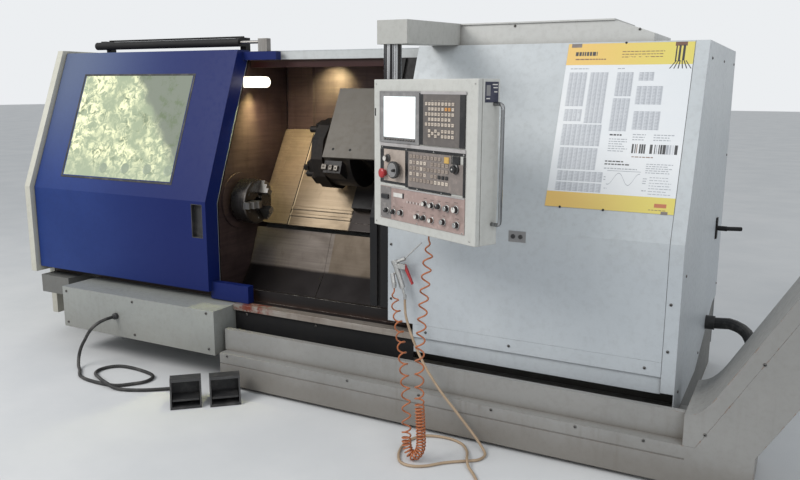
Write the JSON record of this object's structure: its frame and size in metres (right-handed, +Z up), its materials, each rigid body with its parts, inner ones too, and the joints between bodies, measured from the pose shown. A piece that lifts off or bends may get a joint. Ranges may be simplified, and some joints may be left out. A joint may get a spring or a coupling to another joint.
{
  "type": "cnc turning lathe",
  "caption": "Slant-bed CNC turning lathe with sliding door, chuck, tool turret, swivelling control pendant and a chip conveyor along its front.",
  "frame": {"origin": "middle of the machine's footprint at floor level, free cords and what is on them left out", "axes": "+X from the headstock end to the conveyor's discharge end, +Y from the operator to the back, +Z up"},
  "size_m": [4.9614, 2.0455, 1.851],
  "materials": {
    "machine_white": "semi-gloss, dusty",
    "cream": "semi-gloss",
    "door_blue": "gloss",
    "black": "satin",
    "casting": "painted, oily",
    "stainless": "brushed, oily",
    "steel": "machined",
    "chrome": "polished",
    "glass": "laminated pane",
    "screen": "glowing display",
    "red": "gloss",
    "rubber": "matt",
    "orange_hose": "translucent",
    "tan_hose": "matt",
    "paper": "laminated print",
    "lamp": "glowing lens",
    "plastic_black": "matt"
  },
  "bodies": {
    "cabinet": {"left_end_frame": "cream", "right_end_panel": "machine_white", "right_front_cover": "machine_white", "rear_cover": "machine_white", "headstock_cover": "machine_white", "header_beam": "machine_white", "base_casting": "casting", "left_base_cover": "machine_white", "cable_gland": "plastic_black", "door_sill": "steel", "sill_skirt": "black", "front_skirt": "machine_white", "door_post": "black", "work_lamp": "lamp", "reference_chart": "paper", "door_cylinder": "black", "headstock_casting": "casting", "headstock_wall": "stainless", "slant_bed": "casting", "lower_slope_panel": "stainless", "inner_rear_wall": "stainless", "fixed_way_cover": "stainless", "right_fixed_way_cover": "stainless", "conveyor_body": "machine_white", "conveyor_guard": "machine_white", "conveyor_hood": "machine_white", "conveyor_head": "machine_white", "roof_duct": "machine_white", "pendant_arm": "machine_white", "air_gun": "steel", "pedal_hood_1": "plastic_black", "pedal_hood_2": "plastic_black", "coolant_hose": "rubber", "pedal_cable": "rubber", "curly_hose": "orange_hose", "wash_hose": "tan_hose"},
    "door": {"door_panel": "door_blue", "door_window": "glass", "door_pull": "plastic_black", "cylinder_rod": "steel"},
    "latch": {"side_latch": "black"},
    "spindle": {"spindle_chuck": "steel"},
    "chuck_jaw_1": {"jaw_1": "steel"},
    "chuck_jaw_2": {"jaw_2": "steel"},
    "chuck_jaw_3": {"jaw_3": "steel"},
    "carriage": {"carriage_saddle": "casting"},
    "cross_slide": {"turret_housing": "machine_white"},
    "turret": {"turret_disc": "steel"},
    "left_leaf_1": {"way_cover_left_1": "stainless"},
    "left_leaf_2": {"way_cover_left_2": "stainless"},
    "right_leaf_1": {"way_cover_right_1": "stainless"},
    "pendant": {"pendant_case": "machine_white", "pendant_screen": "screen", "pendant_handle": "chrome"},
    "e_stop": {"e_stop_button": "red"},
    "pulse_wheel": {"handwheel": "plastic_black"},
    "override_dial": {"override_knob": "plastic_black"},
    "treadle_1": {"pedal_treadle_1": "plastic_black"},
    "treadle_2": {"pedal_treadle_2": "plastic_black"},
    "gun_lever": {"gun_trigger": "red"}
  },
  "joints": [
    {"name": "door_slide", "type": "slide", "parent": "cabinet", "child": "door", "axis": [1, 0, 0], "range_m": [0, 1.011]},
    {"name": "latch_turn", "type": "hinge", "parent": "cabinet", "child": "latch", "pos_m": [1.36955, 0.69839, 0.835], "axis": [1, 0, 0], "range_deg": [0, 90]},
    {"name": "spindle_turn", "type": "hinge", "parent": "cabinet", "child": "spindle", "pos_m": [-0.96275, -0.15061, 0.919], "axis": [1, 0, 0], "continuous": true},
    {"name": "jaw_1_slide", "type": "slide", "parent": "spindle", "child": "chuck_jaw_1", "axis": [0, 0.4226, 0.9063], "range_m": [-0.003, 0.005]},
    {"name": "jaw_2_slide", "type": "slide", "parent": "spindle", "child": "chuck_jaw_2", "axis": [0, 0.5736, -0.8192], "range_m": [-0.003, 0.005]},
    {"name": "jaw_3_slide", "type": "slide", "parent": "spindle", "child": "chuck_jaw_3", "axis": [0, -0.9962, -0.0872], "range_m": [-0.003, 0.005]},
    {"name": "carriage_slide", "type": "slide", "parent": "cabinet", "child": "carriage", "axis": [1, 0, 0], "range_m": [-0.08, 0.69]},
    {"name": "cross_slide_feed", "type": "slide", "parent": "carriage", "child": "cross_slide", "axis": [0, 0.5, 0.866], "range_m": [-0.11, 0.2]},
    {"name": "turret_index", "type": "hinge", "parent": "cross_slide", "child": "turret", "pos_m": [-0.58005, 0.00839, 1.1944], "axis": [1, 0, 0], "continuous": true},
    {"name": "left_leaf_1_slide", "type": "slide", "parent": "cabinet", "child": "left_leaf_1", "axis": [1, 0, 0], "range_m": [-0.0267, 0.23]},
    {"name": "left_leaf_2_slide", "type": "slide", "parent": "cabinet", "child": "left_leaf_2", "axis": [1, 0, 0], "range_m": [-0.0534, 0.4601]},
    {"name": "right_leaf_1_slide", "type": "slide", "parent": "cabinet", "child": "right_leaf_1", "axis": [1, 0, 0], "range_m": [-0.04, 0.345]},
    {"name": "pendant_swivel", "type": "hinge", "parent": "cabinet", "child": "pendant", "pos_m": [0.18125, -0.68661, 1.585], "axis": [0, 0, 1], "range_deg": [-80, 35]},
    {"name": "e_stop_press", "type": "slide", "parent": "pendant", "child": "e_stop", "axis": [0.4274, 0.9041, 0], "range_m": [0, 0.004], "stiffness_N_per_m": 800},
    {"name": "pulse_wheel_turn", "type": "hinge", "parent": "pendant", "child": "pulse_wheel", "pos_m": [0.27107, -0.81014, 1.22], "axis": [-0.4274, -0.9041, 0], "continuous": true},
    {"name": "override_turn", "type": "hinge", "parent": "pendant", "child": "override_dial", "pos_m": [0.2114, -0.78194, 1.263], "axis": [-0.4274, -0.9041, 0], "range_deg": [-130, 130]},
    {"name": "treadle_1_press", "type": "hinge", "parent": "cabinet", "child": "treadle_1", "pos_m": [-0.89582, -0.87136, 0.03], "axis": [0.7431, 0.6691, 0], "range_deg": [0, 12], "stiffness_Nm_per_rad": 8, "springref_deg": -11.46},
    {"name": "treadle_2_press", "type": "hinge", "parent": "cabinet", "child": "treadle_2", "pos_m": [-0.74882, -0.75136, 0.03], "axis": [0.7431, 0.6691, 0], "range_deg": [0, 12], "stiffness_Nm_per_rad": 8, "springref_deg": -11.46},
    {"name": "gun_lever_press", "type": "hinge", "parent": "cabinet", "child": "gun_lever", "pos_m": [0.15125, -0.50761, 0.742], "axis": [0, 1, 0], "range_deg": [0, 12], "stiffness_Nm_per_rad": 0.8, "springref_deg": -17.19}
  ],
  "couplings": [
    {"joint": "jaw_2_slide", "follows": "jaw_1_slide", "ratio": 1},
    {"joint": "jaw_3_slide", "follows": "jaw_1_slide", "ratio": 1},
    {"joint": "left_leaf_1_slide", "follows": "carriage_slide", "ratio": 0.33333},
    {"joint": "left_leaf_2_slide", "follows": "carriage_slide", "ratio": 0.66667},
    {"joint": "right_leaf_1_slide", "follows": "carriage_slide", "ratio": 0.5}
  ]
}
